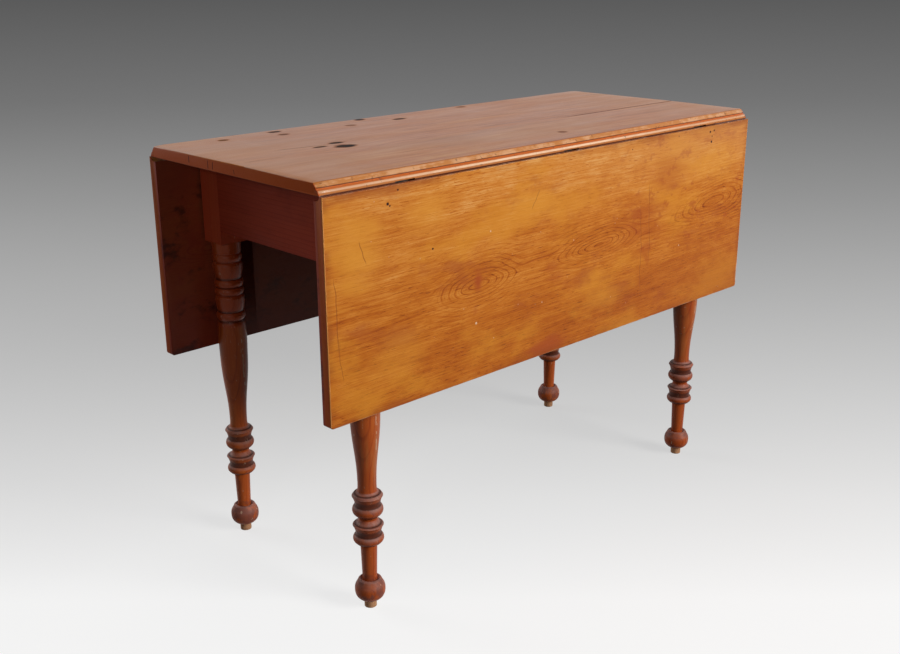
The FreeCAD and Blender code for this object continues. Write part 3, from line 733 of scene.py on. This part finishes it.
print("worn boards")
wornTop("top_board_front", "topBoardFront",
         [topWood("topCherryFront", 1.0), topWood("topEndFront", 1.0, 0.04)])
wornTop("top_board_back", "topBoardBack",
         [topWood("topCherryBack", 2.0), topWood("topEndBack", 2.0, 0.04)])
wornLeaf("leaf_front", "leafFrontBoard", "leaf_front", leafWood("leafCherryFront", -1, 1.0))
wornLeaf("leaf_back", "leafBackBoard", "leaf_back", leafWood("leafCherryBack", 1, 4.0))


def dress(nodeName, material):
    data = nodes[nodeName].data
    data.materials.clear()
    data.materials.append(material)


print("legs and frame")
for i, corner in enumerate(("left_front", "left_back", "right_front", "right_back")):
    low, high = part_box("leg_" + corner)
    centre = ((low.x + high.x) / 2, (low.y + high.y) / 2)
    dress("leg_" + corner, legWood("turnedCherry" + str(i), centre, 1.3 + i))
    dress("foot_peg_" + corner, plainWood("barePeg" + str(i), "Z", (0.62, 0.33, 0.17),
                                                 (0.30, 0.13, 0.060), 2 + i))
    dress("swing_arm_" + corner, apronWood("armCherry" + str(i), "X", 5 + i))
dress("end_apron_left", apronWood("endApronCherryLeft", "Y", 2.0))
dress("end_apron_right", apronWood("endApronCherryRight", "Y", 3.0))
dress("side_apron_front", apronWood("sideApronCherryFront", "X", 4.0))
dress("side_apron_back", apronWood("sideApronCherryBack", "X", 6.0))
pineAlongX = plainWood("blockPineAlong", "X", (0.50, 0.30, 0.13), (0.28, 0.13, 0.05), 3.0)
pineAlongY = plainWood("blockPineAcross", "Y", (0.50, 0.30, 0.13), (0.28, 0.13, 0.05), 7.0)
iron = agedIron("agedIron", 1.0)
screwIron = agedIron("screwIron", 5.0)
for name in nodes:
    if name.startswith("side_block"):
        dress(name, pineAlongX)
    elif name.startswith("end_block"):
        dress(name, pineAlongY)
    elif "screws" in name:
        dress(name, screwIron)
    elif name.startswith("hinge"):
        dress(name, iron)


cameraSettings = {
    "place": Vector((-1.448, -1.445, 1.030)),
    "turn": 46.34,         # heading from +X towards +Y, degrees
    "dip": 18.57,          # below level, degrees
    "roll": -0.28,
    "lens": 44.72,
}
floorSettings = {
    "radius": 60.0,
    "shadow": 0.22,        # how much of the floor is lit rather than plain
    "bounce": 0.04,        # what the floor gives back to the underside
    # grey by how steeply the floor is seen from the camera's place in cameraSettings
    "greys": [(0.03, 0.124), (0.124, 0.214), (0.214, 0.342), (0.309, 0.495), (0.410, 0.660),
              (0.518, 0.838), (0.632, 0.990), (0.70, 1.0)],
}
lightSettings = {
    "ambient": 0.060,      # what the world gives the table
    "sky": 0.80,           # what the camera sees of it
}
lamps = {
    "key": {"place": (1.6, -4.9, 2.55), "target": (0, 0, 0.5), "size": 2.6, "power": 284.0,
            "colour": (1, 0.98, 0.95)},
    "overhead": {"place": (0.9, 1.4, 4.2), "target": (0, 0, 0.7), "size": 2.2, "power": 16.0},
    "back": {"place": (-1.9, 4.6, 1.9), "target": (0, 0, 0.5), "size": 2.4, "power": 76.0},
    "side": {"place": (-3.7, -2.5, 1.9), "target": (-0.3, 0, 0.4), "size": 0.45, "power": 12.0},
}


def floorMaterial():
    r = Recipe("paleFloor")
    x, y, z = r.split(r.place())[:3]
    turn = math.radians(cameraSettings["turn"])
    eye = cameraSettings["place"]
    ahead = (x - eye.x) * math.cos(turn) + (y - eye.y) * math.sin(turn)
    steep = eye.z / r.most(ahead, 0.5)
    mottle = r.cloud(r.place(), (3, 3, 3), 3, 0.5) - 0.5
    grey = r.ramp(r.limit(steep + mottle * 0.002),
                  [(p, (g, g, g)) for p, g in floorSettings["greys"]])
    seen = r.node("ShaderNodeLightPath")
    ways = seen.socket.node.outputs
    shown = r.most(r.most(Field(r, ways["Is Camera Ray"]), Field(r, ways["Is Glossy Ray"])),
                   Field(r, ways["Is Transmission Ray"]))
    plain = r.node("ShaderNodeEmission", {}, {"Color": grey, "Strength": 1.0})
    lit = r.node("ShaderNodeBsdfDiffuse", {}, {"Color": grey})
    pale = r.node("ShaderNodeMixShader", {}, {0: floorSettings["shadow"], 1: plain, 2: lit})
    g = floorSettings["bounce"]
    dull = r.node("ShaderNodeBsdfDiffuse", {}, {"Color": (g, g * 0.95, g * 0.9, 1)})
    r.toOutput(r.node("ShaderNodeMixShader", {}, {0: shown, 1: dull, 2: pale}))
    return r.material


def makeFloor():
    shape = bmesh.new()
    bmesh.ops.create_circle(shape, cap_ends=True, segments=96, radius=floorSettings["radius"])
    mesh = bpy.data.meshes.new("floor")
    shape.to_mesh(mesh)
    shape.free()
    floor = bpy.data.objects.new("floor", mesh)
    scene.collection.objects.link(floor)
    mesh.materials.append(floorMaterial())


def makeLamp(name, place, target, size, power, colour=(1, 1, 1)):
    data = bpy.data.lights.new(name, "AREA")
    data.shape = "DISK"
    data.size = size
    data.energy = power
    data.color = colour
    lamp = bpy.data.objects.new(name, data)
    lamp.location = place
    lamp.rotation_euler = (Vector(target) - Vector(place)).to_track_quat("-Z", "Y").to_euler()
    scene.collection.objects.link(lamp)


def makeWorld():
    world = bpy.data.worlds.new("studio")
    world.use_nodes = True
    tree = world.node_tree
    tree.nodes.clear()
    path = tree.nodes.new("ShaderNodeLightPath")
    seen = path.outputs["Is Camera Ray"]
    for way in ("Is Glossy Ray", "Is Transmission Ray"):
        either = tree.nodes.new("ShaderNodeMath")
        either.operation = "MAXIMUM"
        tree.links.new(seen, either.inputs[0])
        tree.links.new(path.outputs[way], either.inputs[1])
        seen = either.outputs[0]
    dim = tree.nodes.new("ShaderNodeBackground")
    dim.inputs[0].default_value = (0.95, 0.97, 1.0, 1)
    dim.inputs[1].default_value = lightSettings["ambient"]
    bright = tree.nodes.new("ShaderNodeBackground")
    bright.inputs[0].default_value = (1, 1, 1, 1)
    bright.inputs[1].default_value = lightSettings["sky"]
    mix = tree.nodes.new("ShaderNodeMixShader")
    tree.links.new(seen, mix.inputs[0])
    tree.links.new(dim.outputs[0], mix.inputs[1])
    tree.links.new(bright.outputs[0], mix.inputs[2])
    output = tree.nodes.new("ShaderNodeOutputWorld")
    tree.links.new(mix.outputs[0], output.inputs[0])
    scene.world = world


def makeCamera():
    data = bpy.data.cameras.new("camera")
    data.sensor_width = 36
    data.sensor_fit = "HORIZONTAL"
    data.lens = cameraSettings["lens"]
    data.clip_end = 200
    camera = bpy.data.objects.new("camera", data)
    camera.location = cameraSettings["place"]
    tilt = math.radians(90 - cameraSettings["dip"])
    turn = math.radians(cameraSettings["turn"] - 90)
    aim = (Euler((tilt, 0, turn)).to_matrix()
           @ Matrix.Rotation(math.radians(cameraSettings["roll"]), 3, "Z"))
    camera.rotation_euler = aim.to_euler()
    scene.collection.objects.link(camera)
    scene.camera = camera


print("stage")
makeFloor()
makeWorld()
for lampName, lamp in lamps.items():
    makeLamp(lampName, **lamp)
makeCamera()
scene.view_settings.view_transform = "Standard"
